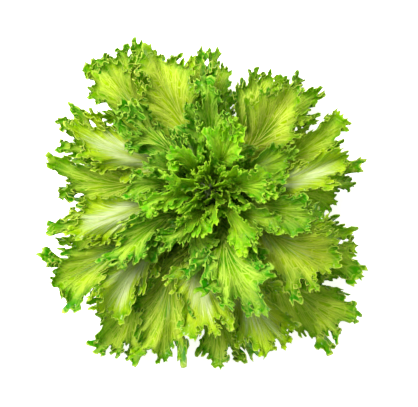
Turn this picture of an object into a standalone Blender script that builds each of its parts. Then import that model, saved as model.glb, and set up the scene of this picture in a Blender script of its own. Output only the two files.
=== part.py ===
"""Crystal lettuce head: frilled leaves in eight whorls round a short cut stem, standing on the cut.

Every leaf lies on its own layer of a nested family of shells. A shell leaves the stem at its own
height and arcs outwards: the lowest shell spreads flat, the innermost stands nearly upright. A
leaf keeps to its own band between shells and to its own sector of azimuth, so no two leaves cross.
Metres, +Z up, origin in the middle of the cut face, +Y towards the back of the head.
"""

import math

import bpy
import numpy as np

MM = 0.001
MERGE = 0.00005  # metres, for the Screw modifier

# Stem: a flat cut, a short straight butt and a domed top that carries the leaves
CUT_RADIUS = 17 * MM
STEM_RADIUS = 20 * MM
SHOULDER_HEIGHT = 9 * MM
DOME_HEIGHT = 50 * MM
DOME_LAST_ANGLE = math.radians(76)  # how far up the dome the innermost leaf is rooted
STEM_SIDES = 24
DOME_STEPS = 8

# Shells: layer 0 is the lowest and layer 1 the innermost. Each starts at its rise angle above
# the horizontal and has turned to its tip angle after SHELL_LENGTH.
SHELL_LENGTH = 150 * MM
SHELL_LAYERS = (-0.15, 0.00, 0.14, 0.28, 0.42, 0.56, 0.70, 0.85, 1.00, 1.15)
SHELL_RISES = (19, 28, 38, 50, 62, 72, 80, 86, 90, 94)
SHELL_TIPS = (-26, -19, -14, -14, -20, -14, 3, 33, 62, 80)

# The head is not round: its layers open more on some sides, roll up and down and lean about
OPENING_SWING = math.radians(5)
ROLL_HEIGHTS = (7 * MM, 5 * MM, 3 * MM)
ROLL_LENGTHS = (165 * MM, 105 * MM, 70 * MM)
ROLL_DIRECTIONS = (math.radians(20), math.radians(140), math.radians(75))
SWAY = 4 * MM
SWAY_LENGTH = 150 * MM

# Leaf blade
ROOT_GAP = 0.5 * MM
ROOT_THICKNESS = 2.4 * MM
HEART_ROOT_THICKNESS = 1.2 * MM
EDGE_THICKNESS = 0.7 * MM
PETIOLE_SHARE = 0.18  # share of the length over which the blade's sides stay plain
BROADENING = 0.40  # share of the length over which the frill then comes in
ROOT_WIDTH = 0.62  # shares of the leaf's sector
RIB_ROOT_WIDTH = 0.40
RIB_REACH = 0.58  # share of the leaf's length at which the rib ends
VEIN_BEND = 0.66  # the veins leave along the rib and bend outwards this far along
VEIN_BEND_WIDTH = 0.36  # share of the margin's width there
SECTOR_FILL = 0.93

# Frill: waves along the margin that fade towards the rib, on broader buckles that reach deeper
FRILL_LENGTH = 36 * MM
FRILL_HEIGHT = 10 * MM  # on a leaf of FULL_LENGTH, less on a short one
FULL_LENGTH = 115 * MM
FRILL_START = 0.38  # share of the way out where the waves begin
BUCKLE_LENGTH = 78 * MM
BUCKLE_HEIGHT = 8 * MM
BUCKLE_START = 0.15
LOBE_LENGTH = 46 * MM
LOBE_DEPTH = 0.07
TOOTH_DEPTH = 1.2 * MM
SPREAD_AT_STEM = 40 * MM  # distance between layers 0 and 1, at the stem and for each metre out
SPREAD_RATE = 1.4

# Whorls from the ground up: azimuths of the leaves in degrees, half widths of their sectors in
# degrees, and lengths from the stem to the tip in millimetres. rows: segments round the leaf at
# each of ROW_REACHES, the shares of the way from the rib to the margin.
ROW_REACHES = (0.0, 0.40, 0.74, 1.0)
WHORLS = (
    {
        "name": "outer",
        "skin": "outer",
        "layer": 0.00,
        "azimuths": (4, 47, 84, 123, 155, 197, 236, 274, 313),
        "half_widths": (21, 21, 16, 17, 18, 20, 18, 19, 21),
        "lengths": (104, 116, 114, 138, 126, 128, 144, 132, 156),
        "rows": (10, 10, 20, 40),
        "seed": 641,
    },
    {
        "name": "skirt",
        "skin": "outer",
        "layer": 0.14,
        "azimuths": (26, 60, 95, 129, 173, 212, 250, 292, 333),
        "half_widths": (17, 16, 17, 19, 20, 19, 17, 20, 20),
        "lengths": (110, 110, 104, 130, 126, 138, 140, 128, 134),
        "rows": (10, 10, 20, 40),
        "seed": 250,
    },
    {
        "name": "face",
        "skin": "outer",
        "layer": 0.28,
        "azimuths": (11, 48, 110, 154, 192, 227, 268, 329),
        "half_widths": (14, 22, 25, 18, 18, 16, 23, 27),
        "lengths": (116, 116, 116, 126, 118, 136, 122, 130),
        "rows": (12, 12, 24, 48),
        "seed": 1056,
    },
    {
        "name": "mid",
        "skin": "inner",
        "layer": 0.42,
        "azimuths": (348, 30, 88, 137, 172, 213, 290),
        "half_widths": (24, 21, 24, 18, 17, 22, 32),
        "lengths": (90, 72, 82, 98, 70, 96, 102),
        "rows": (10, 10, 20, 40),
        "seed": 267,
    },
    {
        "name": "crown",
        "skin": "inner",
        "layer": 0.56,
        "azimuths": (12, 60, 112, 155, 192, 250, 325),
        "half_widths": (22, 25, 22, 18, 18, 33, 24),
        "lengths": (66, 58, 60, 62, 60, 64, 70),
        "rows": (8, 8, 16, 32),
        "seed": 274,
    },
    {
        "name": "inner",
        "skin": "heart",
        "layer": 0.70,
        "azimuths": (12, 72, 130, 188, 250, 314),
        "half_widths": (28, 29, 27, 29, 31, 29),
        "lengths": (70, 76, 60, 78, 62, 74),
        "rows": (8, 8, 16, 32),
        "seed": 281,
    },
    {
        "name": "heart",
        "skin": "heart",
        "layer": 0.85,
        "azimuths": (45, 103, 163, 222, 282, 345),
        "half_widths": (29, 28, 29, 29, 29, 31),
        "lengths": (58, 52, 62, 54, 60, 50),
        "rows": (6, 6, 12, 24),
        "seed": 287,
    },
    {
        "name": "bud",
        "skin": "heart",
        "layer": 1.00,
        "azimuths": (20, 110, 200, 290),
        "half_widths": (42, 42, 42, 42),
        "lengths": (46, 40, 48, 42),
        "rows": (6, 6, 12, 24),
        "seed": 293,
    },
)
BAND = 0.063  # a leaf keeps within this much of its whorl's layer

OUTER_GREEN = (0.22, 0.44, 0.02, 1.0)
INNER_GREEN = (0.27, 0.50, 0.03, 1.0)
HEART_GREEN = (0.20, 0.42, 0.02, 1.0)
STEM_GREEN = (0.62, 0.66, 0.34, 1.0)


def smooth_step(x):
    """0 below 0, 1 above 1 and a smooth S between."""
    x = np.clip(x, 0.0, 1.0)
    return x * x * (3 - 2 * x)


def root_thickness(layer):
    """Thickness of a leaf's root, which is less towards the heart."""
    return ROOT_THICKNESS + (HEART_ROOT_THICKNESS - ROOT_THICKNESS) * np.clip(layer, 0, 1)


def shell_point(distance, azimuth, layer):
    """Points this distance out from the stem along the shell of each layer, as an array of xyz."""
    climb = DOME_LAST_ANGLE * layer
    rise = np.radians(np.interp(layer, SHELL_LAYERS, SHELL_RISES))
    tip = np.radians(np.interp(layer, SHELL_LAYERS, SHELL_TIPS))
    tip = tip + OPENING_SWING * np.sin(2 * azimuth + 0.6) * np.clip(layer, 0, 1)
    turn = (tip - rise) / SHELL_LENGTH
    slope = rise + turn * distance
    root_radius = STEM_RADIUS * np.cos(climb) + root_thickness(layer) / 2 + ROOT_GAP
    radius = root_radius + (np.sin(slope) - np.sin(rise)) / turn
    height = SHOULDER_HEIGHT + DOME_HEIGHT * np.sin(climb) - (np.cos(slope) - np.cos(rise)) / turn
    x = radius * np.cos(azimuth)
    y = radius * np.sin(azimuth)
    # The rolling and the sway start above the stem, so that the roots stay round it
    free = smooth_step((np.hypot(radius, height) - DOME_HEIGHT) / DOME_HEIGHT)
    for rolled, length, way in zip(ROLL_HEIGHTS, ROLL_LENGTHS, ROLL_DIRECTIONS):
        place = x * math.cos(way) + y * math.sin(way)
        height = height + free * rolled * np.sin(2 * math.pi * place / length + 5 * way)
    wave = 2 * math.pi / SWAY_LENGTH
    x = x + free * SWAY * np.sin(wave * y + 1.0)
    y = y + free * SWAY * np.sin(wave * x + 2.2)
    return np.stack([x, y, height], axis=-1)


class Leaf:
    """One leaf: where it grows, how long it is, and the seeded numbers that set it apart."""

    def __init__(self, whorl, place):
        self.name = f"leaf_{whorl['name']}_{place + 1}"
        self.layer = whorl["layer"]
        self.rows = whorl["rows"]
        self.azimuth = math.radians(whorl["azimuths"][place])
        self.half_width = math.radians(whorl["half_widths"][place]) * SECTOR_FILL
        self.length = whorl["lengths"][place] * MM
        draw = np.random.default_rng(whorl["seed"] + place)
        self.phases = draw.uniform(0, 2 * math.pi, 6)
        self.roll = draw.uniform(-0.45, 0.45)
        self.cup = draw.uniform(-0.1, 0.5)
        # Steps round the outline, from one side of the root by the tip to the other: longer
        # along the plain sides of the petiole, shorter along the frill
        angles = np.linspace(-math.pi, math.pi, 241)
        distance = 0.5 * self.length * (1 + np.cos(angles))
        forward = 0.5 * self.length * np.sin(angles)
        sideways = self.half_width * self.girth(distance) * np.cos(angles)
        steps = np.hypot(forward, sideways) * (angles[1] - angles[0])
        weights = steps * (0.5 + 0.5 * self.frilled(distance))
        self.angles = angles
        self.lengths = np.cumsum(steps) - np.sum(steps) / 2
        self.shares = 2 * (np.cumsum(weights) - weights[0]) / (np.sum(weights) - weights[0]) - 1

    def frilled(self, distance):
        """0 along the petiole, 1 where the blade is broad."""
        return smooth_step((distance / self.length - PETIOLE_SHARE) / BROADENING)

    def girth(self, distance):
        """Rough radius of the head this far out, for lengths across a leaf."""
        return STEM_RADIUS + (0.85 - 0.35 * self.layer) * distance

    def outline(self, out, across):
        """Distance from the stem and share of the sector, before the frill. out runs from the
        edge of the rib to the margin, and across from one side of the leaf's root, round the tip
        of the rib, to the other side."""
        phases = self.phases
        along = np.interp(across, self.shares, self.lengths)
        angle = np.interp(across, self.shares, self.angles)
        lobe = np.sin(2 * math.pi * along / LOBE_LENGTH + phases[0])
        lobe += 0.6 * np.sin(2 * math.pi * along / (0.55 * LOBE_LENGTH) + phases[1])
        teeth = np.cos(0.5 * math.pi * (across + 1) * self.rows[-1])
        plain = 0.5 * self.length * (1 + np.cos(angle))
        notch = self.frilled(plain) * (LOBE_DEPTH * lobe + TOOTH_DEPTH / (0.4 * self.length) * teeth)
        margin_distance = plain + 0.42 * self.length * notch * out**8 * np.cos(angle)
        margin_share = (1 - 1.8 * LOBE_DEPTH) * (1 + notch * out**8) * np.sin(angle)
        margin_share += ROOT_WIDTH * np.sign(across) * np.abs(across) ** 12

        rib_distance = RIB_REACH * self.length * (1 - np.abs(across))
        rib_share = RIB_ROOT_WIDTH * np.sign(across) * np.abs(across) ** 0.8
        rib_share *= self.girth(0) / self.girth(rib_distance)
        bend_distance = rib_distance + VEIN_BEND * (plain - rib_distance)
        bend_share = rib_share + VEIN_BEND_WIDTH * (margin_share - rib_share)
        near, middle, far = (1 - out) ** 2, 2 * out * (1 - out), out**2
        distance = near * rib_distance + middle * bend_distance + far * margin_distance
        share = near * rib_share + middle * bend_share + far * margin_share
        return distance, share

    def points(self, out, across):
        """xyz of the blade's middle surface."""
        phases = self.phases
        distance, share = self.outline(out, across)
        along = np.interp(across, self.shares, self.lengths)
        angle = np.interp(across, self.shares, self.angles)
        turn = 2 * math.pi * along / FRILL_LENGTH + phases[2]
        turn += 0.5 * np.sin(turn / 2.7 + phases[3])
        ends = self.frilled(0.5 * self.length * (1 + np.cos(angle)))
        strength = ends * smooth_step((out - FRILL_START) / (1 - FRILL_START)) ** 1.2
        swell = 0.8 + 0.2 * np.sin(turn / 3.3 + phases[4])
        size = min(1.0, 0.25 + 0.75 * self.length / FULL_LENGTH)
        frill = FRILL_HEIGHT * size * swell * strength * np.cos(turn)
        buckle = np.sin(2 * math.pi * along / BUCKLE_LENGTH + phases[5])
        buckle *= BUCKLE_HEIGHT * ends * smooth_step((out - BUCKLE_START) / (1 - BUCKLE_START))

        spread = SPREAD_AT_STEM + SPREAD_RATE * distance
        shape = self.roll * share + self.cup * (share**2 - 0.3)
        raised = (frill + buckle) / spread / BAND + 0.8 * shape * smooth_step(distance / self.length)
        layer = self.layer + BAND * np.tanh(raised)
        azimuth = self.azimuth + self.half_width * share
        return shell_point(distance, azimuth, layer)

    def thickness_weight(self, out, across):
        """1 at the root, less up the rib, 0 over the thin blade."""
        return np.abs(across) ** 0.7 * (1 - smooth_step(2.5 * out))


def leaf_triangles(rows):
    """Rows of points from the rib's edge to the margin, as (out, across, triangles)."""
    out, across, triangles = [], [], []
    starts = [0]
    for segments, share in zip(rows, ROW_REACHES):
        out += [share] * (segments + 1)
        across += list(np.linspace(-1, 1, segments + 1))
        starts.append(len(out))
    # The rib: a tongue whose two edges are the first row's two halves
    last = rows[0]
    for i in range(last // 2):
        triangles.append((i + 1, i, last - i))
        if 2 * (i + 1) < last:
            triangles.append((i + 1, last - i, last - i - 1))
    for near, (segments, following) in enumerate(zip(rows, rows[1:])):
        a, b = starts[near], starts[near + 1]
        step = following // segments
        for i in range(segments):
            j = b + i * step
            if step == 1 and i < segments / 2:
                triangles.append((a + i, a + i + 1, j))
                triangles.append((a + i + 1, j + 1, j))
                continue
            triangles.append((a + i, j + 1, j))
            triangles.append((a + i, a + i + 1, j + 1))
            if step == 2:
                triangles.append((a + i + 1, j + 2, j + 1))
    return np.array(out), np.array(across), triangles


def material(name, colour, roughness):
    made = bpy.data.materials.new(name)
    made.use_nodes = True
    shader = made.node_tree.nodes["Principled BSDF"]
    shader.inputs["Base Color"].default_value = colour
    shader.inputs["Roughness"].default_value = roughness
    return made


def add_object(name, mesh, collection, skin):
    obj = bpy.data.objects.new(name, mesh)
    mesh.materials.append(skin)
    collection.objects.link(obj)
    return obj


def make_stem(collection, skin):
    """The cut stem: half its outline, top to bottom, turned round Z by a Screw modifier."""
    top = math.radians(90)
    outline = []
    for i in range(DOME_STEPS + 1):
        climb = top * (1 - i / DOME_STEPS)
        outline.append((STEM_RADIUS * math.cos(climb), SHOULDER_HEIGHT + DOME_HEIGHT * math.sin(climb)))
    outline.append((CUT_RADIUS + 1 * MM, 1.5 * MM))
    outline.append((CUT_RADIUS, 0.0))
    outline.append((0.0, 0.0))
    mesh = bpy.data.meshes.new("stem")
    points = [(x, 0.0, z) for x, z in outline]
    mesh.from_pydata(points, [(i, i + 1) for i in range(len(points) - 1)], [])
    stem = add_object("stem", mesh, collection, skin)
    screw = stem.modifiers.new("turned", "SCREW")
    screw.steps = screw.render_steps = STEM_SIDES
    screw.use_merge_vertices = True
    screw.merge_threshold = MERGE
    screw.use_smooth_shade = True
    return stem


def make_leaf(leaf, collection, skin):
    """A frilled blade: its middle surface, made thick by Solidify, more so along the rib."""
    out, across, triangles = leaf_triangles(leaf.rows)
    mesh = bpy.data.meshes.new(leaf.name)
    mesh.from_pydata(leaf.points(out, across).tolist(), [], triangles)
    mesh.shade_smooth()
    obj = add_object(leaf.name, mesh, collection, skin)
    group = obj.vertex_groups.new(name="rib")
    for i, weight in enumerate(leaf.thickness_weight(out, across)):
        group.add([i], float(weight), "REPLACE")
    thick = root_thickness(leaf.layer)
    solidify = obj.modifiers.new("blade", "SOLIDIFY")
    solidify.thickness = thick
    solidify.offset = 0
    solidify.vertex_group = "rib"
    solidify.thickness_vertex_group = EDGE_THICKNESS / thick
    return obj


def main():
    for obj in list(bpy.data.objects):
        bpy.data.objects.remove(obj)
    head = bpy.data.collections.new("crystal_lettuce_head")
    bpy.context.scene.collection.children.link(head)
    skins = {
        "outer": material("leaf_outer", OUTER_GREEN, 0.42),
        "inner": material("leaf_inner", INNER_GREEN, 0.42),
        "heart": material("leaf_heart", HEART_GREEN, 0.42),
    }
    make_stem(head, material("stem", STEM_GREEN, 0.55))
    for whorl in WHORLS:
        for place in range(len(whorl["azimuths"])):
            make_leaf(Leaf(whorl, place), head, skins[whorl["skin"]])


main()
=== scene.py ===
import math

import bpy
import numpy as np
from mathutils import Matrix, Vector


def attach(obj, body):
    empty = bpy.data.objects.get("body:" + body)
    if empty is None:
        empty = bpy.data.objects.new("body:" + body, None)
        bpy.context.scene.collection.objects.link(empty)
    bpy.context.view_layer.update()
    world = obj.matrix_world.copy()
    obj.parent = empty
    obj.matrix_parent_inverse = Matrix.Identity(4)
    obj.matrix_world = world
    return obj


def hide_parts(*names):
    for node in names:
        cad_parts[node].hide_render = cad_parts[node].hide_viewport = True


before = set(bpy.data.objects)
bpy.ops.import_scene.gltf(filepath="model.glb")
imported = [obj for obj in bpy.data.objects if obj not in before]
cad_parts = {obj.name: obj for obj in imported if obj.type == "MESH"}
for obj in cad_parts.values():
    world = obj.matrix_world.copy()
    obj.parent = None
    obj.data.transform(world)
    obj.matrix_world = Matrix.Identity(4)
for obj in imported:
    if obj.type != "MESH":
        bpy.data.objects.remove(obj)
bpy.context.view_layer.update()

mm = 0.001
fullTurn = 2 * math.pi

# The shells that the leaves lie on. Layer 0 is the lowest whorl and layer 1 the bud.
shells = {
    "length": 150 * mm,
    "layers": (-0.15, 0.00, 0.14, 0.28, 0.42, 0.56, 0.70, 0.85, 1.00, 1.15),
    "rises": (19, 28, 38, 50, 62, 72, 80, 86, 90, 94),  # degrees above level at the stem
    "tips": (-26, -19, -14, -14, -20, -14, 3, 33, 62, 80),  # degrees above level at the end
    "openingSwing": math.radians(5),  # how much more a shell opens on two sides than on the others
    "openingStart": 0.6,
    "rolls": ((7 * mm, 165 * mm, 20), (5 * mm, 105 * mm, 140), (3 * mm, 70 * mm, 75)),  # height, length, way
    "sway": 4 * mm,
    "swayLength": 150 * mm,
    "swayStarts": (1.0, 2.2),
    "spreadAtStem": 40 * mm,  # from layer 0 to layer 1
    "spreadRate": 1.4,
    "ceiling": 112 * mm,
    "press": 0.5,  # share of a height above the ceiling that is taken off
    "band": (0.085, 0.12),  # how far a fan and a leaf that is all frill stray from their whorl's layer
}

stemShape = {
    "radius": 20 * mm,
    "shoulder": 9 * mm,
    "domeHeight": 50 * mm,
    "lastAngle": math.radians(76),  # how far up the dome the bud grows
}

# Pairs here, in the frill and in the windings are for a smooth fan and for a leaf that is all frill
blade = {
    "rootGap": 0.5 * mm,
    "rootSink": 2.0 * mm,  # how far the foot of a leaf is drawn in, so that it is joined to the stem
    "footLength": 15 * mm,
    "rootThickness": 2.4 * mm,
    "heartRootThickness": 1.2 * mm,
    "edgeThickness": 0.45 * mm,
    "petioleShare": (0.18, 0.05),  # where the blade starts to broaden, as a share of its length
    "broadening": (0.40, 0.28),  # and over how much of the length it does
    "rootWidth": 0.62,  # shares of the sector's half width
    "rootSharpness": 12,
    "ribRootWidth": 0.40,
    "ribWidening": 0.8,
    "ribTaper": 0.7,
    "ribFade": 2.5,  # the rib's thickness is gone when out times this is 1
    "ribReach": 0.58,  # how far out the rib goes
    "veinBend": 0.66,
    "veinBendWidth": 0.36,
    "sectorFill": 0.93,
    "girthGrowth": 0.85,  # how much farther from the stem's axis a point is for a metre out, in layer 0
    "girthLoss": 0.35,  # and how much less of that there is in layer 1
    "slopeSpot": 0.8,  # share of the length where the slope near the margin is taken
    "smoothWeight": 0.5,  # columns of points where the blade is plain, against one where it is frilled
    "roll": (-0.45, 0.45),  # one side higher than the other, in bands
    "cup": (-0.1, 0.5),  # both sides higher than the middle
    "cupLevel": 0.3,
    "shapeStrength": 0.8,
    "fullLength": 115 * mm,
    "smallestSize": 0.45,  # the frill of a very short leaf against a full one's
    "shortestRay": 4 * mm,
    "paleStart": 0.12,
    "paleLength": 0.45,
}

frill = {
    "length": 36 * mm, "height": 6 * mm, "start": 0.34,  # start: share of the way to the margin
    "power": 1.2, "wobble": 0.5, "wobbleTurns": 2.7, "swell": 0.2, "swellTurns": 3.3,
    "buckleLength": 70 * mm, "buckleHeight": 13 * mm, "buckleStart": 0.15,
    "fringe": (15 * mm, 20 * mm), "fringeShare": 0.6, "standing": 70,  # degrees that the fringe ends at
    "lobeLength": 46 * mm, "lobeDepth": 0.07, "lobeFading": 8, "lobeRoom": 1.8,
    "secondLobeLength": 0.55, "secondLobeHeight": 0.6,  # against the first lobes
    "toothLength": 5.6 * mm, "toothDepth": 3.0 * mm, "toothFading": 14, "toothWander": 0.25,
    "nickLength": 3.6 * mm, "nickDepth": 0.8 * mm, "nickFading": 40, "nickWander": 0.2,
    "wander": 1.5, "wanderLength": 9 * mm,  # makes the teeth uneven
    "notchLength": 0.42, "notchWidth": 0.4,  # what notches reckon with, as shares of the leaf's length
}

# What all windings share: the length on the smallest leaf, and how slowly and how much they change
windingChange = {"smallestLength": 0.6, "wobbleTurns": 2.6, "swell": 0.25, "swellTurns": 3.7}

# The margin's windings, each about the path of the one before. The starts say which of a leaf's drawn
# offsets are used for the winding, its wobble and its changing swing.
windings = (
    {"length": 50 * mm, "swing": (0 * mm, 13 * mm), "lean": (0 * mm, 5 * mm), "lift": (2 * mm, 9 * mm),
     "zone": (20 * mm, 60 * mm), "zoneShare": 0.85, "fading": 1.3, "wobble": 1.0, "starts": (5, 2, 3), "wild": True},
    {"length": 24 * mm, "swing": (8 * mm, 9.5 * mm), "lean": (2.5 * mm, 2.9 * mm), "lift": (4 * mm, 7 * mm),
     "zone": (26 * mm, 38 * mm), "zoneShare": 0.8, "fading": 1.5, "wobble": 1.1, "starts": (7, 4, 5), "wild": False},
    {"length": 8.6 * mm, "swing": (3.0 * mm, 3.4 * mm), "lean": (0.9 * mm, 1.0 * mm), "lift": (2 * mm, 3.2 * mm),
     "zone": (12 * mm, 18 * mm), "zoneShare": 0.5, "fading": 1.2, "wobble": 0.9, "starts": (3, 0, 1), "wild": False},
)

# Rows of points from the middle of the rib (-1) over its edge (0) to the margin (1), each with the
# number that the full count of columns is divided by
rowReaches = (
    (-1.0, 16), (-0.5, 16), (0.0, 16), (0.10, 8), (0.20, 8), (0.30, 8), (0.39, 4), (0.47, 4), (0.55, 4), (0.62, 4),
    (0.685, 2), (0.74, 2), (0.79, 2), (0.835, 2), (0.875, 2), (0.91, 1), (0.94, 1), (0.965, 1), (0.985, 1), (1.0, 1),
)
pointedMean = 0.36
weldGap = 0.02 * mm
tableSizes = {"rim": 241, "windings": 6001, "rays": 81}  # how finely each leaf's own tables are worked out

# The leaves, lowest whorl first. Azimuths and half widths are in degrees and lengths in mm. Frills go from a
# smooth fan (0) to all frill (1), whites from green to whitish streaks, greens from yellow green to dark:
# partly each leaf's own green and partly painted shade, higher on the lower whorls and frilly clusters
# that lie under the leaves above. Wildness is the strength of the widest winding.
whorls = (
    {"name": "outer", "wildness": 0.45, "slot": "leaf_outer", "layer": 0.00, "columns": 544, "seed": 641,
     "azimuths": (4, 47, 84, 123, 155, 197, 236, 274, 313),
     "halfWidths": (21, 21, 16, 17, 18, 20, 18, 19, 21),
     "lengths": (104, 116, 98, 134, 122, 118, 150, 134, 154),
     "frills": (0.9, 0.9, 0.9, 0.9, 1.0, 1.0, 1.0, 1.0, 0.9),
     "whites": (0.3, 0.2, 0.4, 0.3, 0.3, 0.3, 0.3, 0.3, 0.3),
     "greensAndShade": (0.6, 0.6, 0.9, 0.8, 0.9, 0.9, 1.0, 0.8, 0.7)},
    {"name": "skirt", "wildness": 0.5, "slot": "leaf_outer", "layer": 0.14, "columns": 544, "seed": 250,
     "azimuths": (26, 60, 95, 129, 173, 212, 250, 292, 333),
     "halfWidths": (17, 16, 17, 19, 20, 19, 17, 20, 20),
     "lengths": (110, 110, 100, 130, 120, 138, 142, 130, 134),
     "frills": (0.5, 0.9, 1.0, 0.9, 1.0, 1.0, 0.9, 0.5, 0.9),
     "whites": (0.3, 0.2, 0.5, 0.4, 0.3, 0.5, 0.4, 0.9, 0.2),
     "greensAndShade": (0.3, 0.6, 0.9, 0.6, 0.9, 1.0, 1.0, 0.4, 0.8)},
    {"name": "face", "wildness": 0.8, "slot": "leaf_outer", "layer": 0.28, "columns": 544, "seed": 1056,
     "azimuths": (11, 48, 110, 154, 192, 227, 268, 329),
     "halfWidths": (14, 22, 25, 18, 18, 16, 23, 27),
     "lengths": (110, 110, 112, 118, 114, 126, 116, 122),
     "frills": (0.3, 0.2, 0.4, 0.5, 0.3, 0.7, 0.4, 0.3),
     "whites": (0.9, 0.1, 0.35, 0.9, 1.0, 0.9, 0.85, 0.5),
     "greensAndShade": (0.1, 0.3, 0.3, 0.1, 0.2, 0.3, 0.3, 0.5)},
    {"name": "mid", "wildness": 1.0, "slot": "leaf_inner", "layer": 0.42, "columns": 544, "seed": 267,
     "azimuths": (348, 30, 88, 137, 172, 213, 290),
     "halfWidths": (24, 21, 24, 18, 17, 22, 32),
     "lengths": (90, 72, 82, 98, 70, 96, 102),
     "frills": (0.5, 0.7, 0.9, 1.0, 0.8, 1.0, 1.0),
     "whites": (0.3, 0.5, 0.2, 0.0, 0.2, 0.2, 0.1),
     "greensAndShade": (0.7, 0.7, 1.0, 1.0, 0.6, 1.0, 0.9)},
    {"name": "crown", "wildness": 1.0, "slot": "leaf_inner", "layer": 0.56, "columns": 448, "seed": 274,
     "azimuths": (12, 60, 112, 155, 192, 250, 325),
     "halfWidths": (22, 25, 22, 18, 18, 33, 24),
     "lengths": (66, 62, 62, 68, 66, 72, 74),
     "frills": (0.8, 0.8, 0.9, 1.0, 0.8, 1.0, 1.0),
     "whites": (0.2, 0.1, 0.6, 0.0, 0.3, 0.1, 0.1),
     "greensAndShade": (0.5, 0.6, 0.6, 0.8, 0.3, 0.5, 0.3)},
    {"name": "inner", "wildness": 1.1, "slot": "leaf_heart", "layer": 0.70, "columns": 448, "seed": 281,
     "azimuths": (12, 72, 130, 188, 250, 314),
     "halfWidths": (28, 29, 27, 29, 31, 29),
     "lengths": (70, 76, 60, 71, 62, 70),
     "frills": (1.0, 1.0, 1.0, 1.0, 1.0, 1.0),
     "whites": (0.1, 0.0, 0.1, 0.0, 0.1, 0.0),
     "greensAndShade": (0.5, 0.8, 0.9, 0.7, 0.6, 0.4)},
    {"name": "heart", "wildness": 1.1, "slot": "leaf_heart", "layer": 0.85, "columns": 320, "seed": 287,
     "azimuths": (45, 103, 163, 222, 282, 345),
     "halfWidths": (29, 28, 29, 29, 29, 31),
     "lengths": (58, 50, 54, 54, 58, 50),
     "frills": (1.0, 1.0, 1.0, 1.0, 1.0, 1.0),
     "whites": (0.1, 0.0, 0.1, 0.0, 0.1, 0.0),
     "greensAndShade": (0.5, 0.4, 0.6, 0.4, 0.4, 0.5)},
    {"name": "bud", "wildness": 1.1, "slot": "leaf_heart", "layer": 1.00, "columns": 320, "seed": 293,
     "azimuths": (20, 110, 200, 290),
     "halfWidths": (42, 42, 42, 42),
     "lengths": (46, 40, 48, 42),
     "frills": (1.0, 1.0, 1.0, 1.0),
     "whites": (0.0, 0.0, 0.0, 0.0),
     "greensAndShade": (0.5, 0.4, 0.5, 0.4)},
)


def smoothStep(x):  # 0 below 0, 1 above 1, a smooth S between
    x = np.clip(x, 0.0, 1.0)
    return x * x * (3 - 2 * x)


def between(ends, share):
    return ends[0] + (ends[1] - ends[0]) * share


def pointed(x):  # high at whole numbers, in a sharp tip, and rounded down between them, 0 on the average
    return 1 - np.abs(np.sin(math.pi * x)) - pointedMean


def rootThickness(layer):
    return between((blade["rootThickness"], blade["heartRootThickness"]), np.clip(layer, 0, 1))


# A point on a shell: climb the stem's dome by the layer, leave it at the layer's rise angle and turn
# evenly to its tip angle. The foot is drawn in to the stem. Three long rolls are added to the height of
# what is clear of the dome, and a sideways sway.
def shellPoint(distance, azimuth, layer):
    climb = stemShape["lastAngle"] * layer
    rise = np.radians(np.interp(layer, shells["layers"], shells["rises"]))
    tip = np.radians(np.interp(layer, shells["layers"], shells["tips"]))
    tip = tip + shells["openingSwing"] * np.sin(2 * azimuth + shells["openingStart"]) * np.clip(layer, 0, 1)
    turn = (tip - rise) / shells["length"]
    slope = rise + turn * distance
    start = stemShape["radius"] * np.cos(climb) + rootThickness(layer) / 2 + blade["rootGap"]
    radius = start + (np.sin(slope) - np.sin(rise)) / turn
    radius = radius - blade["rootSink"] * smoothStep(1 - distance / blade["footLength"])
    dome = stemShape["domeHeight"]
    height = stemShape["shoulder"] + dome * np.sin(climb) - (np.cos(slope) - np.cos(rise)) / turn
    x, y = radius * np.cos(azimuth), radius * np.sin(azimuth)
    free = smoothStep((np.hypot(radius, height) - dome) / dome)
    for rolled, length, way in shells["rolls"]:
        way = math.radians(way)
        crossed = x * math.cos(way) + y * math.sin(way)
        height = height + free * rolled * np.sin(fullTurn * crossed / length + 5 * way)
    wave = fullTurn / shells["swayLength"]
    x = x + free * shells["sway"] * np.sin(wave * y + shells["swayStarts"][0])
    y = y + free * shells["sway"] * np.sin(wave * x + shells["swayStarts"][1])
    return np.stack([x, y, height], axis=-1)


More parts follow.
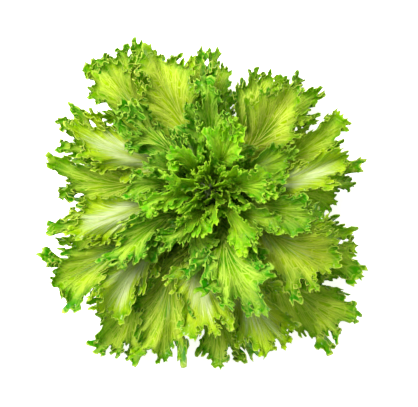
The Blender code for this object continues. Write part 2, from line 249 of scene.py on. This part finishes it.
# One leaf's measures and tables. A point of the blade is given by out, from the rib to the margin, and
# across, from one end of the margin at the stem (-1) round the tip (0) to the other (1).
class Leaf:
    def __init__(self, whorl, place):
        self.name = "leaf_" + whorl["name"] + "_" + str(place + 1)
        self.layer = whorl["layer"]
        self.columns = whorl["columns"]
        self.wildness = whorl["wildness"]
        self.azimuth = math.radians(whorl["azimuths"][place])
        self.halfWidth = math.radians(whorl["halfWidths"][place]) * blade["sectorFill"]
        self.length = whorl["lengths"][place] * mm
        self.frilly = whorl["frills"][place]
        self.white = whorl["whites"][place]
        self.green = whorl["greensAndShade"][place]
        self.band = between(shells["band"], self.frilly)
        draw = np.random.default_rng(whorl["seed"] + place)
        self.phases = draw.uniform(0, fullTurn, 6)
        self.roll = draw.uniform(*blade["roll"])
        self.cup = draw.uniform(*blade["cup"])
        self.offsets = draw.uniform(0, fullTurn, 8)
        self.tone = draw.uniform(0, 1)
        rise = np.interp(self.layer, shells["layers"], shells["rises"])
        tip = np.interp(self.layer, shells["layers"], shells["tips"])
        slope = rise + (tip - rise) * blade["slopeSpot"] * self.length / shells["length"]  # in degrees
        self.slope = math.radians(slope)
        self.stand = math.radians(max(frill["standing"] - slope, 0))
        self.size = min(1.0, between((blade["smallestSize"], 1.0), self.length / blade["fullLength"]))
        self.measureRim()
        self.windRim()
        self.measureRays()

    # Tables along a plain oval rim, from the stem round the tip and back: the oval's angle, the length
    # along the rim, and the across value, which has more room where the blade is frilled
    def measureRim(self):
        self.angles = np.linspace(-math.pi, math.pi, tableSizes["rim"])
        distance = self.ovalDistance(self.angles)
        forward = 0.5 * self.length * np.sin(self.angles)
        sideways = self.halfWidth * self.girth(distance) * np.cos(self.angles)
        steps = np.hypot(forward, sideways) * (self.angles[1] - self.angles[0])
        weights = steps * between((blade["smoothWeight"], 1), self.frilled(distance))
        self.lengths = np.cumsum(steps) - np.sum(steps) / 2
        self.shares = 2 * (np.cumsum(weights) - weights[0]) / (np.sum(weights) - weights[0]) - 1

    # The three windings of the rim, laid out flat, and the rim's length once it is wound
    def windRim(self):
        self.marks = np.linspace(self.lengths[0], self.lengths[-1], tableSizes["windings"])
        path = np.stack([self.marks, np.zeros(len(self.marks))])
        self.moves = []
        for wave in windings:
            path, move = self.winding(path, wave)
            self.moves.append(move)
        steps = np.hypot(*np.gradient(path, axis=1))
        ends = self.frilled(self.ovalDistance(np.interp(self.marks, self.lengths, self.angles)))
        steps = ends * steps + (1 - ends) * (self.marks[1] - self.marks[0])
        self.arcs = np.cumsum(steps)
        self.evenly = 2 * (self.arcs - self.arcs[0]) / (self.arcs[-1] - self.arcs[0]) - 1

    # How long the blade's rays are, from the rib's edge to the margin
    def measureRays(self):
        count = tableSizes["rays"]
        self.spots = np.linspace(-1, 1, count)
        nearDistance, nearShare = self.outline(np.zeros(count), np.zeros(count), self.spots)
        farDistance, farShare = self.outline(np.ones(count), np.zeros(count), self.spots)
        sideways = (farShare - nearShare) * self.halfWidth * self.girth(farDistance)
        self.rays = np.maximum(np.hypot(farDistance - nearDistance, sideways), blade["shortestRay"])

    # Swings to both sides of a path as a cosine, leans along it as a sine twice as quick, as a slack
    # ribbon does, and lifts as a sine. Slow sines make the waves' lengths and swings uneven.
    def winding(self, path, wave):
        start, shake, change = (self.offsets[place] for place in wave["starts"])
        wildness = self.wildness if wave["wild"] else 1
        steps = np.gradient(path, axis=1)
        steps = steps / np.hypot(*steps)
        arc = np.cumsum(np.hypot(*np.diff(path, axis=1, prepend=path[:, :1])))
        turn = fullTurn * arc / (wave["length"] * between((windingChange["smallestLength"], 1), self.size)) + start
        turn = turn + wave["wobble"] * np.sin(turn / windingChange["wobbleTurns"] + shake)
        swell = np.sin(turn / windingChange["swellTurns"] + change)
        swell = 1 - windingChange["swell"] + windingChange["swell"] * swell
        swing = between(wave["swing"], self.frilly) * wildness * self.size * swell * np.cos(turn)
        lean = between(wave["lean"], self.frilly) * wildness * self.size * np.sin(2 * turn)
        lift = between(wave["lift"], self.frilly) * self.size * np.sin(turn)
        move = np.stack([steps[0] * lean - steps[1] * swing, steps[1] * lean + steps[0] * swing])
        return path + move, (move[0], move[1], lift)

    def ovalDistance(self, angle):  # from the stem: 0 at both ends of the rim, the leaf's length at its tip
        return 0.5 * self.length * (1 + np.cos(angle))

    def frilled(self, distance):  # 0 along the petiole, 1 where the blade is broad
        petiole = between(blade["petioleShare"], self.frilly)
        return smoothStep((distance / self.length - petiole) / between(blade["broadening"], self.frilly))

    def girth(self, distance):  # about how far from the stem's axis the shell is
        return stemShape["radius"] + (blade["girthGrowth"] - blade["girthLoss"] * self.layer) * distance

    # Where a point of the blade lies, before the frill, as a distance from the stem and a share of
    # the sector: a ray, bent as a parabola, from the rib's edge to the margin. The margin is an oval
    # with lobes of two sine waves and sharp teeth and nicks, which fade inward as powers of out.
    def outline(self, reach, out, across):
        side = np.sign(across)
        along = np.interp(across, self.shares, self.lengths)
        angle = np.interp(across, self.shares, self.angles)
        plain = self.ovalDistance(angle)
        lobe = np.sin(fullTurn * along / frill["lobeLength"] + self.phases[0])
        shorter = frill["secondLobeLength"] * frill["lobeLength"]
        lobe = lobe + frill["secondLobeHeight"] * np.sin(fullTurn * along / shorter + self.phases[1])
        wander = frill["wander"] * np.sin(along / frill["wanderLength"] + self.offsets[0])
        arc = np.interp(along, self.marks, self.arcs)
        tooth = pointed(arc / frill["toothLength"] + self.offsets[1] + frill["toothWander"] * wander)
        nick = pointed(arc / frill["nickLength"] + self.offsets[2] + frill["nickWander"] * wander)
        cuts = frill["toothDepth"] * tooth * out ** frill["toothFading"]
        cuts = cuts + frill["nickDepth"] * nick * out ** frill["nickFading"]
        notch = frill["lobeDepth"] * lobe * out ** frill["lobeFading"] + cuts / (frill["notchWidth"] * self.length)
        notch = notch * self.frilled(plain)
        marginDistance = plain + frill["notchLength"] * self.length * notch * np.cos(angle)
        marginShare = (1 - frill["lobeRoom"] * frill["lobeDepth"]) * (1 + notch) * np.sin(angle)
        marginShare = marginShare + blade["rootWidth"] * side * np.abs(across) ** blade["rootSharpness"]
        ribDistance = blade["ribReach"] * self.length * (1 - np.abs(across))
        ribShare = blade["ribRootWidth"] * side * np.abs(across) ** blade["ribWidening"]
        ribShare = ribShare * self.girth(0) / self.girth(ribDistance)
        bendDistance = ribDistance + blade["veinBend"] * (plain - ribDistance)
        bendShare = ribShare + blade["veinBendWidth"] * (marginShare - ribShare)
        near, middle, far = (1 - reach) ** 2, 2 * reach * (1 - reach), reach**2
        distance = near * ribDistance + middle * bendDistance + far * marginDistance
        share = near * ribShare + middle * bendShare + far * marginShare
        return distance, share

    # The blade's middle surface. A frill and a longer buckle, both sines of the length along the rim,
    # raise the outline more and more towards the margin, and the last 15 to 20 mm stand up as a fringe
    # along an arc. The windings shift the margin along itself, outward and up, and fade inward. The
    # height becomes a shift between shells, which a tanh keeps within the leaf's band, and the point is
    # carried to its shell. Heights above the ceiling are pressed down.
    def surface(self, out, across):
        along = np.interp(across, self.shares, self.lengths)
        angle = np.interp(across, self.shares, self.angles)
        ray = np.interp(across, self.spots, self.rays)
        reach = np.clip(out, 0, 1)
        ends = self.frilled(self.ovalDistance(angle))

        turn = fullTurn * along / frill["length"] + self.phases[2]
        turn = turn + frill["wobble"] * np.sin(turn / frill["wobbleTurns"] + self.phases[3])
        strength = ends * smoothStep((reach - frill["start"]) / (1 - frill["start"])) ** frill["power"]
        swell = 1 - frill["swell"] + frill["swell"] * np.sin(turn / frill["swellTurns"] + self.phases[4])
        high = frill["height"] * self.size * swell * strength * np.cos(turn)
        buckle = np.sin(fullTurn * along / frill["buckleLength"] + self.phases[5])
        strength = ends * smoothStep((reach - frill["buckleStart"]) / (1 - frill["buckleStart"]))
        high = high + frill["buckleHeight"] * buckle * strength

        fringe = np.minimum(between(frill["fringe"], self.frilly) * self.size, frill["fringeShare"] * ray)
        start = 1 - fringe / ray
        past = np.clip((reach - start) / (1 - start), 0, 1)
        rolled = ends * self.stand * past + 1e-6  # never 0, as it divides
        forth = past * fringe * np.sin(rolled) / rolled
        high = high + past * fringe * (1 - np.cos(rolled)) / rolled

        fromEdge = (1 - reach) * ray
        shift, moved = np.zeros_like(along), np.zeros_like(along)
        for wave, (sideways, outward, upward) in zip(windings, self.moves):
            zone = np.minimum(between(wave["zone"], self.frilly), wave["zoneShare"] * ray)
            fade = ends * np.clip(1 - fromEdge / zone, 0, 1) ** wave["fading"]
            outward = fade * np.interp(along, self.marks, outward)
            upward = fade * np.interp(along, self.marks, upward)
            moved = moved + outward * math.cos(self.slope) + upward * math.sin(self.slope)
            high = high + upward * math.cos(self.slope) - outward * math.sin(self.slope)
            shift = shift + fade * np.interp(along, self.marks, sideways)
        flat = np.where(past > 0, start + forth / ray, reach) + moved / ray
        slid = np.interp(along + shift, self.lengths, self.shares)

        distance, share = self.outline(flat, reach, slid)
        share = share * (1 + np.minimum(out, 0))
        spread = shells["spreadAtStem"] + shells["spreadRate"] * distance
        shape = self.roll * share + self.cup * (share**2 - blade["cupLevel"])
        shape = blade["shapeStrength"] * shape * smoothStep(distance / self.length)
        layer = self.layer + self.band * np.tanh(high / spread / self.band + shape)
        points = shellPoint(distance, self.azimuth + self.halfWidth * share, layer)
        points[:, 2] -= shells["press"] * np.maximum(points[:, 2] - shells["ceiling"], 0)
        return points, distance, along, fromEdge


# Triangles over rows whose numbers of columns are equal or double from row to row. Diagonals lean
# towards the tip on both sides.
def rowTriangles(counts):
    starts = np.concatenate([[0], np.cumsum([count + 1 for count in counts])])
    found = []
    for row in range(len(counts) - 1):
        here, there = counts[row], counts[row + 1]
        step = there // here
        near = starts[row] + np.arange(here)
        far = starts[row + 1] + np.arange(here) * step
        if step == 1:
            left = (np.arange(here) < here / 2)[:, None]
            leftPair = np.stack([near, near + 1, far], 1), np.stack([near + 1, far + 1, far], 1)
            rightPair = np.stack([near, far + 1, far], 1), np.stack([near, near + 1, far + 1], 1)
            found += [np.where(left, *sides) for sides in zip(leftPair, rightPair)]
        else:
            found += [np.stack([near, far + 1, far], 1), np.stack([near, near + 1, far + 1], 1),
                      np.stack([near + 1, far + 2, far + 1], 1)]
    return np.concatenate(found)


# Points that lie on one another become one: the rib's middle line is met from both sides
def welded(points, triangles, extras):
    keys = np.round(points / weldGap).astype(np.int64)
    _, first, back = np.unique(keys, axis=0, return_index=True, return_inverse=True)
    triangles = back.reshape(-1)[triangles]
    whole = np.all(triangles != np.roll(triangles, -1, axis=1), axis=1)
    return points[first], triangles[whole], [extra[first] for extra in extras]


# A closed blade: the surface moved half its thickness to both sides along its normals, and a strip
# round the edges that only one triangle has
def closedBlade(points, triangles, thickness):
    a, b, c = (points[triangles[:, corner]] for corner in range(3))
    facing = np.cross(b - a, c - a)
    normals = np.zeros_like(points)
    for corner in range(3):
        np.add.at(normals, triangles[:, corner], facing)
    normals /= np.maximum(np.linalg.norm(normals, axis=1, keepdims=True), 1e-12)
    count = len(points)
    half = normals * thickness[:, None] / 2
    both = np.concatenate([points + half, points - half])
    edges = np.concatenate([triangles[:, [0, 1]], triangles[:, [1, 2]], triangles[:, [2, 0]]])
    codes = edges[:, 0] * count + edges[:, 1]
    rim = edges[~np.isin(edges[:, 1] * count + edges[:, 0], codes)]
    strip = np.concatenate([np.stack([rim[:, 1], rim[:, 0], rim[:, 0] + count], 1),
                            np.stack([rim[:, 1], rim[:, 0] + count, rim[:, 1] + count], 1)])
    return both, np.concatenate([triangles, triangles[:, ::-1] + count, strip])


def addMesh(name, points, triangles, material):
    mesh = bpy.data.meshes.new(name)
    mesh.vertices.add(len(points))
    mesh.vertices.foreach_set("co", points.astype(np.float32).ravel())
    mesh.loops.add(triangles.size)
    mesh.loops.foreach_set("vertex_index", triangles.astype(np.int32).ravel())
    mesh.polygons.add(len(triangles))
    mesh.polygons.foreach_set("loop_start", np.arange(0, triangles.size, 3, dtype=np.int32))
    mesh.update(calc_edges=True)
    mesh.validate()
    mesh.shade_smooth()
    mesh.materials.append(material)
    piece = bpy.data.objects.new(name, mesh)
    bpy.context.scene.collection.objects.link(piece)
    return piece


# A leaf's piece, with a UV map that follows the blade (decimetres along the rim, share of the way out)
# and what its skin reads at each point: a tone of its own, how pale its base is, mm to the margin, and
# the leaf's white and green, the green being partly its own and partly painted shade
def makeLeaf(leaf, material):
    counts = [leaf.columns // divisor for _, divisor in rowReaches]
    out = np.concatenate([np.full(count + 1, reach) for (reach, _), count in zip(rowReaches, counts)])
    even = np.concatenate([np.linspace(-1, 1, count + 1) for count in counts])
    across = np.interp(np.interp(even, leaf.evenly, leaf.marks), leaf.lengths, leaf.shares)
    points, distance, along, fromEdge = leaf.surface(out, across)
    ribbed = np.abs(across) ** blade["ribTaper"] * (1 - smoothStep(blade["ribFade"] * np.maximum(out, 0)))
    thickness = between((blade["edgeThickness"], rootThickness(leaf.layer)), ribbed)
    pale = 1 - smoothStep((distance / leaf.length - blade["paleStart"]) / blade["paleLength"])
    extras = [thickness, along, np.maximum(out, 0), pale, fromEdge]
    points, triangles, extras = welded(points, rowTriangles(counts), extras)
    thickness, along, out, pale, fromEdge = extras
    solid, faces = closedBlade(points, triangles, thickness)
    piece = addMesh(leaf.name + "_blade", solid, faces, material)
    mesh = piece.data
    corners = np.empty(len(mesh.loops), dtype=np.int32)
    mesh.loops.foreach_get("vertex_index", corners)
    follows = np.stack([along / 0.1 + leaf.tone * 7, out], 1)[corners % len(points)]
    mesh.uv_layers.new(name="blade").data.foreach_set("uv", follows.astype(np.float32).ravel())
    marks = {"tone": leaf.tone, "base": pale, "edge": fromEdge / mm, "green": leaf.green, "white": leaf.white}
    for name, mark in marks.items():
        both = np.tile(np.broadcast_to(mark, len(points)), 2)
        mesh.attributes.new(name, "FLOAT", "POINT").data.foreach_set("value", both.astype(np.float32))
    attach(piece, "root")
    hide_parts(leaf.name)
    return len(faces)


# A socket of a material, so that sums and products of sockets and numbers can be written as they are
class Value:
    def __init__(self, skin, socket):
        self.skin, self.socket = skin, socket

    def maths(self, operation, *items):
        return self.skin.node("ShaderNodeMath", {"operation": operation}, dict(enumerate(items)))

    def __add__(self, other): return self.maths("ADD", self, other)
    def __radd__(self, other): return self.maths("ADD", other, self)
    def __sub__(self, other): return self.maths("SUBTRACT", self, other)
    def __rsub__(self, other): return self.maths("SUBTRACT", other, self)
    def __mul__(self, other): return self.maths("MULTIPLY", self, other)
    def __rmul__(self, other): return self.maths("MULTIPLY", other, self)
    def __truediv__(self, other): return self.maths("DIVIDE", self, other)
    def __rtruediv__(self, other): return self.maths("DIVIDE", other, self)

    def other(self, output):  # another output of the same node
        return Value(self.skin, self.socket.node.outputs[output])

    def larger(self, other):
        return self.maths("MAXIMUM", self, other)

    def clipped(self):
        return self.maths("MINIMUM", self.larger(0.0), 1.0)

    def ramp(self, low, high):  # 0 at low, 1 at high, a smooth S between
        ends = {"Value": self, "From Min": low, "From Max": high}
        return self.skin.node("ShaderNodeMapRange", {"interpolation_type": "SMOOTHSTEP"}, ends)


class Skin:
    def __init__(self, name):
        self.material = bpy.data.materials.new(name)
        self.material.use_nodes = True
        self.tree = self.material.node_tree
        self.tree.nodes.clear()

    # Adds any node, from its type, its settings and the values or links of its sockets
    def node(self, kind, settings, inputs, output=0):
        made = self.tree.nodes.new(kind)
        for name, setting in settings.items():
            setattr(made, name, setting)
        for name, item in inputs.items():
            if isinstance(item, Value):
                self.tree.links.new(item.socket, made.inputs[name])
            else:
                made.inputs[name].default_value = item
        return Value(self, made.outputs[output]) if len(made.outputs) else None

    def place(self):
        return self.node("ShaderNodeTexCoord", {}, {}, "Object")

    def mark(self, name):  # what makeLeaf wrote on the mesh's points
        return self.node("ShaderNodeAttribute", {"attribute_name": name}, {}, "Fac")

    def joined(self, *items):
        return self.node("ShaderNodeCombineXYZ", {}, dict(enumerate(items)))

    def noise(self, where, scale, detail, roughness=0.5):
        look = {"Vector": where, "Scale": scale, "Detail": detail, "Roughness": roughness}
        return self.node("ShaderNodeTexNoise", {}, look)

    def mixed(self, share, low, high):  # sockets 6 and 7 and output 2 are the Mix node's colours
        return self.node("ShaderNodeMix", {"data_type": "RGBA"}, {0: share, 6: low, 7: high}, 2)

    def bump(self, heights, strength, depth):
        return self.node("ShaderNodeBump", {}, {"Strength": strength, "Distance": depth, "Height": heights})

    def finish(self, shader):
        self.node("ShaderNodeOutputMaterial", {}, {"Surface": shader})
        return self.material


leafLooks = {
    "leaf_outer": {"blade": (0.39, 0.55, 0.00, 1), "shade": (0.016, 0.24, 0.00, 1), "pale": (0.80, 0.84, 0.54, 1),
                   "vein": (0.72, 0.78, 0.11, 1), "through": (0.36, 0.62, 0.00, 1), "letThrough": 0.42},
    "leaf_inner": {"blade": (0.33, 0.56, 0.00, 1), "shade": (0.018, 0.26, 0.00, 1), "pale": (0.72, 0.76, 0.50, 1),
                   "vein": (0.58, 0.74, 0.09, 1), "through": (0.36, 0.70, 0.00, 1), "letThrough": 0.42},
    # The heart's own green is yellower; its colours are also lighter, as painted light that makes up for the little
    # light reaching the middle of the head
    "leaf_heart": {"blade": (0.50, 0.72, 0.00, 1), "shade": (0.05, 0.40, 0.00, 1), "pale": (0.72, 0.80, 0.44, 1),
                   "vein": (0.62, 0.76, 0.08, 1), "through": (0.60, 0.88, 0.00, 1), "letThrough": 0.54},
}

leafPattern = {
    # Gap in mm, the shares of the way out between which a set of veins shows, and its strength
    "veinSets": ((15.0, -1.0, 0.97, 1.0), (7.5, 0.28, 0.97, 0.8), (3.75, 0.55, 0.95, 0.6)),
    "veinWidth": (0.3, 1.15),  # mm from the middle of a vein, where it starts to fade and where it ends
    "veinDrift": 5.0,  # mm
    "veinFadeIn": 0.12,  # over which share of the way out a set starts and ends
    "veinFadeOut": 0.25,
    "closeness": 0.15,  # how close the rays are at the rib, against 1 at the margin
    "netCells": 6.5,  # mm a cell along the rim, and cells from the rib to the margin
    "netWidth": (0.03, 0.13),
    "netShows": (0.15, 0.4),
    "netStrength": 0.95,
    "netRandomness": 0.9,
    "drift": 60.0,  # scales of the noises, in cells a metre
    "patch": 24.0,
    "spot": 95.0,
    "paintedGlintScale": 260.0,
    "streak": (0.8, 2.2, 20.0),  # cells for a mm along the rim, for the way out and for the leaf's tone
    "foldLightAndShade": (0.09, 1.6, 33.0),
    "frillZone": (2.0, 26.0),  # mm from the margin
    "rim": (0.4, 2.0),
    "paintedGlint": (0.62, 0.78),
    # How much each thing darkens the blade, and how much it whitens it. The frill and green darkenings are partly
    # painted shade, the base darkening is painted shade, and the bands for soft folds paint light and shade
    "dark": {"spot": 1.7, "patch": 1.2, "foldLightAndShade": 0.7, "frill": 0.70, "green": 0.60, "all": -0.20, "white": 0.2,
             "base": 0.4, "baseFades": (0.05, 0.65)},
    "pale": {"foldLightAndShade": 2.2, "streak": 2.8, "all": -0.95, "white": 0.4, "contrast": 1.25, "most": 0.85,
             "fades": (0.05, 0.75), "whiteReach": 0.3, "rise": 0.35},
    "paleFrill": 0.6,  # how much of the paleness and of the veins is gone in the frill
    "paleVeins": 0.75,  # and how much of the veins where the blade is white
    "roughness": 0.34,
    "roughnessPatch": 0.2,
    "relief": (0.6, 1.4, 0.5),  # of veins, streaks and the net's cells
    "bump": 0.7,
    "bumpDepth": 1.2 * mm,
    "thickBase": 0.5,  # share of the light that the base keeps out
    "gloss": {"IOR": 1.38, "Specular Tint": (0.85, 1.0, 0.25, 1)},
}


# Leaf colour: pale streaks from the base, yellow green over the blade and deep green in blotches near
# the margin. The blotches are partly the leaf's own mottling and partly painted shade in the frill's
# hollows and on leaves under others, and the blade is painted darker near the rib as shade. Bands along
# the rays paint light and shade of soft folds, and painted glints and a painted bright rim stand in for
# highlights. Veins fan out along the blade's rays in three sets, each with half the gap of the one
# before and starting farther out, as if they forked, and a net of cells joins them. A set is drawn
# where the length along the rim is near a multiple of its gap.
def leafSkin(slot):
    look, pattern = leafLooks[slot], leafPattern
    skin = Skin(slot + "Skin")
    where = skin.place()
    split = skin.node("ShaderNodeSeparateXYZ", {}, {0: skin.node("ShaderNodeUVMap", {"uv_map": "blade"}, {})})
    along, out = split * 100.0, split.other(1)  # along the rim in mm
    tone, base, edge, white, green = (skin.mark(name) for name in ("tone", "base", "edge", "white", "green"))

    drift = skin.noise(where, pattern["drift"], 2.0) - 0.5
    closeness = out * (1 - pattern["closeness"]) + pattern["closeness"]
    veins = None
    for gap, first, last, strength in pattern["veinSets"]:
        off = (along / gap + drift * (pattern["veinDrift"] / gap))
        off = off.maths("FRACT", off) - 0.5
        off = off.maths("ABSOLUTE", off) * gap * closeness
        line = 1.0 - off.ramp(*pattern["veinWidth"])
        line = line * out.ramp(first, first + pattern["veinFadeIn"])
        line = line * (1.0 - out.ramp(last - pattern["veinFadeOut"], last)) * strength
        veins = veins.larger(line) if veins else line
    net = skin.joined(along / pattern["netCells"] + drift * 0.9, out * pattern["netCells"] + drift)
    cell = skin.node("ShaderNodeTexVoronoi", {"feature": "DISTANCE_TO_EDGE", "voronoi_dimensions": "2D"},
                     {"Vector": net, "Scale": 1.0, "Randomness": pattern["netRandomness"]})
    netLine = (1.0 - cell.ramp(*pattern["netWidth"])) * out.ramp(*pattern["netShows"])
    veins = veins.larger(netLine * pattern["netStrength"])

    follows = (along, out, tone)
    streak = skin.joined(*(item * cells for item, cells in zip(follows, pattern["streak"])))
    streak = skin.noise(streak, 1.0, 3.0, 0.6) - 0.5
    # Painted light and shade of soft folds: bands along the rays, lighter where a ridge would catch the light and
    # darker between; they also whiten the blade, most on white leaves
    foldLightAndShade = skin.joined(*(item * cells for item, cells in zip(follows, pattern["foldLightAndShade"])))
    foldLightAndShade = skin.noise(foldLightAndShade, 1.0, 2.0) - 0.5
    patch = skin.noise(where, pattern["patch"], 3.0, 0.6) - 0.5
    spot = skin.noise(where, pattern["spot"], 3.0, 0.6) - 0.5
    paintedGlint = skin.noise(where, pattern["paintedGlintScale"], 2.0, 0.6).ramp(*pattern["paintedGlint"])
    frilled = 1.0 - edge.ramp(*pattern["frillZone"])

    dark = pattern["dark"]
    # Painted shade: the frill zone is darker, partly its own deeper green and partly the shade of its hollows; each
    # leaf's green darkens the lower leaves lying under others, partly their own green and partly painted shade.
    # Spot, patch and streak are the leaf's own mottling.
    darker = spot * dark["spot"] + patch * dark["patch"] + streak * (0.2 + white * 0.5) - foldLightAndShade * dark["foldLightAndShade"]
    darker = darker + frilled * dark["frill"] + green * dark["green"] + dark["all"] - white * dark["white"]
    inner = (1.0 - white) * (1.0 - out.ramp(*dark["baseFades"]))  # painted shade near the rib, where the base lies under the leaves above
    darker = darker + inner * dark["base"]
    colour = skin.mixed(darker.clipped(), look["blade"], look["shade"])
    pale, paleFrill = pattern["pale"], pattern["paleFrill"]
    whiter = (1.0 - (out - white * pale["whiteReach"]).ramp(*pale["fades"])) * (0.5 + white * 0.8)
    whiter = whiter + pale["all"] + white * pale["white"]
    whiter = whiter + (foldLightAndShade * pale["foldLightAndShade"] + streak * pale["streak"]) * (0.3 + white * 0.8)
    whiter = (whiter * pale["contrast"]).clipped() * pale["most"] * (1.0 - frilled * paleFrill)
    whiter = whiter * (0.25 + out.ramp(0.0, pale["rise"]) * 0.75)
    colour = skin.mixed(whiter, colour, look["pale"])
    veined = veins * (1.0 - white * pattern["paleVeins"]) * (1.0 - frilled * paleFrill)
    colour = skin.mixed(veined, colour, look["vein"])
    # Painted glints: small pale flecks in the frill, stronger on white leaves, that stand in for highlights
    colour = skin.mixed(paintedGlint * frilled * (0.45 + white * 0.3), colour, look["pale"])
    # Painted highlight: a bright band along the margin, standing in for light that shines through the thin edge and
    # glances off it
    rim = (1.0 - edge.ramp(*pattern["rim"])) * (0.55 + patch * 1.6).clipped()
    colour = skin.mixed(rim, colour, look["vein"])

    veinRelief, streakRelief, cellRelief = pattern["relief"]
    heights = veins * veinRelief + streak * streakRelief + cell.ramp(0.0, 0.5) * cellRelief
    bump = skin.bump(heights, pattern["bump"], pattern["bumpDepth"])
    roughness = pattern["roughness"] + patch * pattern["roughnessPatch"]
    surface = {"Base Color": colour, "Roughness": roughness, "Normal": bump}
    shine = skin.node("ShaderNodeBsdfPrincipled", {}, surface | pattern["gloss"])
    through = skin.node("ShaderNodeBsdfTranslucent", {}, {"Color": look["through"], "Normal": bump})
    share = (1.0 - base * pattern["thickBase"]) * look["letThrough"]
    return skin.finish(skin.node("ShaderNodeMixShader", {}, {0: share, 1: shine, 2: through}))


stemLook = {
    "pale": (0.60, 0.68, 0.34, 1),
    "green": (0.42, 0.56, 0.16, 1),
    "cut": (0.70, 0.62, 0.42, 1),
    "cutHeight": (0.2 * mm, 1.2 * mm),
    "fibreStretch": (1, 1, 0.15),
    "fibre": 420.0,  # scales of the noises
    "patch": 90.0,
    "roughness": 0.5,
    "bump": 0.4,
    "bumpDepth": 0.8 * mm,
}


# Stem colour: pale with greener fibres, which run up it, and patches, and browned at the cut
def stemSkin(look):
    skin = Skin("stemSkin")
    where = skin.place()
    height = skin.node("ShaderNodeSeparateXYZ", {}, {0: where}, "Z")
    stretched = skin.node("ShaderNodeMapping", {}, {"Vector": where, "Scale": look["fibreStretch"]})
    fibre = skin.noise(stretched, look["fibre"], 4.0)
    patch = skin.noise(where, look["patch"], 3.0)
    cut = 1.0 - height.ramp(*look["cutHeight"])
    colour = skin.mixed((fibre * 0.6 + patch * 0.6 - 0.2).clipped(), look["pale"], look["green"])
    colour = skin.mixed(cut * (0.55 + patch * 0.4), colour, look["cut"])
    surface = {"Base Color": colour, "Roughness": look["roughness"] - cut * 0.15,
               "Normal": skin.bump(fibre, look["bump"], look["bumpDepth"])}
    return skin.finish(skin.node("ShaderNodeBsdfPrincipled", {}, surface))


leafSkins = {slot: leafSkin(slot) for slot in leafLooks}
total = 0
for whorl in whorls:
    for place in range(len(whorl["azimuths"])):
        total += makeLeaf(Leaf(whorl, place), leafSkins[whorl["slot"]])
    print("whorl", whorl["name"], "done, triangles so far", total)

stemMaterial = stemSkin(stemLook)
for slotItem in bpy.data.objects["stem"].material_slots:
    slotItem.material = stemMaterial
print("stem dressed")

studio = {
    "floorSize": 6.0,
    "paper": {"Base Color": (0.93, 0.93, 0.93, 1), "Roughness": 0.8,
              "Emission Color": (1, 1, 1, 1), "Emission Strength": 0.65},
    "sky": {"Color": (1, 1, 1, 1), "Strength": 0.59},
    "keyPower": 48,
    "keySize": 0.9,
    "keyPlace": (-0.55, 0.5, 1.25),
    "keyAim": (0, 0, 0.05),
}

floorMesh = bpy.data.meshes.new("floor")
half = studio["floorSize"] / 2
corners = [(-half, -half, 0), (half, -half, 0), (half, half, 0), (-half, half, 0)]
floorMesh.from_pydata(corners, [], [(0, 1, 2, 3)])
paper = Skin("paper")
floorMesh.materials.append(paper.finish(paper.node("ShaderNodeBsdfPrincipled", {}, studio["paper"])))
floor = bpy.data.objects.new("floor", floorMesh)
bpy.context.scene.collection.objects.link(floor)

world = bpy.data.worlds.new("studio")
world.use_nodes = True
for name, item in studio["sky"].items():
    world.node_tree.nodes["Background"].inputs[name].default_value = item
bpy.context.scene.world = world

key = bpy.data.lights.new("key", "AREA")
key.energy = studio["keyPower"]
key.size = studio["keySize"]
keyLamp = bpy.data.objects.new("key", key)
keyLamp.location = studio["keyPlace"]
keyLamp.rotation_euler = (Vector(studio["keyAim"]) - keyLamp.location).to_track_quat("-Z", "Y").to_euler()
bpy.context.scene.collection.objects.link(keyLamp)
print("studio ready")

photo = {
    "width": 418,
    "height": 407,
    "stemPixel": (208, 192),
    "metresPerPixel": 0.856 * mm,
    "outlineHeight": 30 * mm,  # where that scale holds
    "lens": 100,
    "sensor": 36,
    "farthest": 20,
}

camera = bpy.data.cameras.new("camera")
camera.lens = photo["lens"]
camera.sensor_width = photo["sensor"]
camera.clip_end = photo["farthest"]
eye = bpy.data.objects.new("camera", camera)
eye.location = ((photo["width"] / 2 - photo["stemPixel"][0]) * photo["metresPerPixel"],
                (photo["stemPixel"][1] - photo["height"] / 2) * photo["metresPerPixel"],
                photo["outlineHeight"] + photo["width"] * photo["metresPerPixel"] * photo["lens"] / photo["sensor"])
bpy.context.scene.collection.objects.link(eye)
bpy.context.scene.camera = eye
bpy.context.scene.view_settings.view_transform = "Standard"
print("camera ready")
